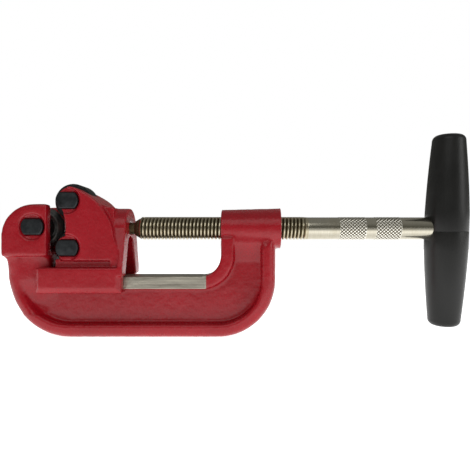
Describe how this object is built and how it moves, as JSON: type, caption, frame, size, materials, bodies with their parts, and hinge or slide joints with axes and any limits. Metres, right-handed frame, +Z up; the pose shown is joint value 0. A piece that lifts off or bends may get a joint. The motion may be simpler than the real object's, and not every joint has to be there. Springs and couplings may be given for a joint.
{
  "type": "pipe cutter",
  "caption": "Screw-feed steel pipe cutter: cast C-frame with a cutter wheel, a two-roller slide on a machined rail, a feed screw and a T-handle.",
  "frame": {"origin": "middle of the flat run of the frame's underside", "axes": "+X along the feed screw towards the T-handle, +Z up, Y along the wheel and roller axes"},
  "size_m": [0.3187, 0.0436, 0.1401],
  "materials": {
    "red_casting": "semi-gloss red paint over cast iron, bare ground steel on the rail",
    "black_steel": "black oxide",
    "tool_steel": "dark hardened steel, lightly oiled",
    "nickel_steel": "nickel plated, warm tint",
    "spring_steel": "phosphated spring steel",
    "bare_steel": "turned bare steel",
    "black_grip": "satin moulded plastic"
  },
  "bodies": {
    "frame": {"frame": "red_casting", "wheel_pin": "black_steel", "wheel_pin_ring": "spring_steel"},
    "wheel": {"cutter_wheel": "tool_steel"},
    "slide": {"slide_housing": "red_casting", "upper_roller_pin": "black_steel", "lower_roller_pin": "black_steel", "upper_pin_ring": "spring_steel", "lower_pin_ring": "spring_steel", "thrust_pad": "bare_steel", "screw_tip_washer": "bare_steel"},
    "upper_roller": {"upper_roller": "tool_steel"},
    "lower_roller": {"lower_roller": "tool_steel"},
    "screw": {"feed_screw": "nickel_steel", "screw_tip_ring": "spring_steel", "handle_bar": "bare_steel", "upper_grip": "black_grip", "lower_grip": "black_grip"}
  },
  "joints": [
    {"name": "feed", "type": "slide", "parent": "frame", "child": "slide", "axis": [1, 0, 0], "range_m": [0, 0.05]},
    {"name": "screw_turn", "type": "hinge", "parent": "slide", "child": "screw", "pos_m": [0, 0, 0.075], "axis": [1, 0, 0], "range_deg": [0, 7200]},
    {"name": "wheel_spin", "type": "hinge", "parent": "frame", "child": "wheel", "pos_m": [-0.0723, 0, 0.0755], "axis": [0, 1, 0], "continuous": true},
    {"name": "upper_roller_spin", "type": "hinge", "parent": "slide", "child": "upper_roller", "pos_m": [-0.049, 0, 0.093], "axis": [0, 1, 0], "continuous": true},
    {"name": "lower_roller_spin", "type": "hinge", "parent": "slide", "child": "lower_roller", "pos_m": [-0.049, 0, 0.0614], "axis": [0, 1, 0], "continuous": true}
  ],
  "couplings": [
    {"joint": "feed", "follows": "screw_turn", "m_per_rad": 0.00039789}
  ]
}
